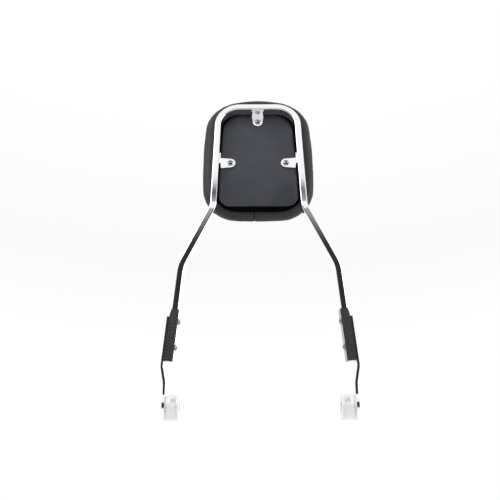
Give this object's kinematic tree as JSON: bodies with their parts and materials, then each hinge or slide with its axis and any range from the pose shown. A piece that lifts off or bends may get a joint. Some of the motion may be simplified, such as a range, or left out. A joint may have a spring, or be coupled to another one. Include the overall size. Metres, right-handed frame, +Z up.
{
  "type": "sissy bar",
  "caption": "Detachable motorbike sissy bar: bent chrome upright with a padded backrest, bolted side plates and docking clamps.",
  "frame": {"origin": "middle of the docking axis, the common axis of the bores in the two docking clamps", "axes": "+X to the right seen from behind the bike, along the docking axis; +Y forward to the seat; +Z up, as fitted to the bike"},
  "size_m": [0.32, 0.1795, 0.595],
  "materials": {
    "chrome": "bright chrome plate",
    "lug": "dark satin plate",
    "clamp": "bright satin casting",
    "bush": "pale nylon",
    "screw": "chrome button heads",
    "nut": "zinc plate",
    "pan": "moulded black plastic, slight sheen",
    "board": "plywood",
    "foam": "open-cell foam",
    "cover": "black vinyl, fine grain, semi-gloss"
  },
  "bodies": {
    "root": {"upright_bar": "chrome", "top_tab": "chrome", "left_tab": "chrome", "right_tab": "chrome", "left_side_plate": "chrome", "right_side_plate": "chrome", "left_lug": "lug", "right_lug": "lug", "left_docking_clamp": "clamp", "right_docking_clamp": "clamp", "left_docking_bush": "bush", "right_docking_bush": "bush", "left_upper_lug_screw": "screw", "left_lower_lug_screw": "screw", "right_upper_lug_screw": "screw", "right_lower_lug_screw": "screw", "left_bush_screw": "screw", "right_bush_screw": "screw", "left_clamp_screws": "screw", "right_clamp_screws": "screw", "top_pad_screw": "screw", "left_pad_screw": "screw", "right_pad_screw": "screw", "top_press_nut": "nut", "left_press_nut": "nut", "right_press_nut": "nut", "back_pan": "pan", "base_board": "board", "pad_foam": "foam", "pad_cover": "cover"}
  },
  "joints": []
}
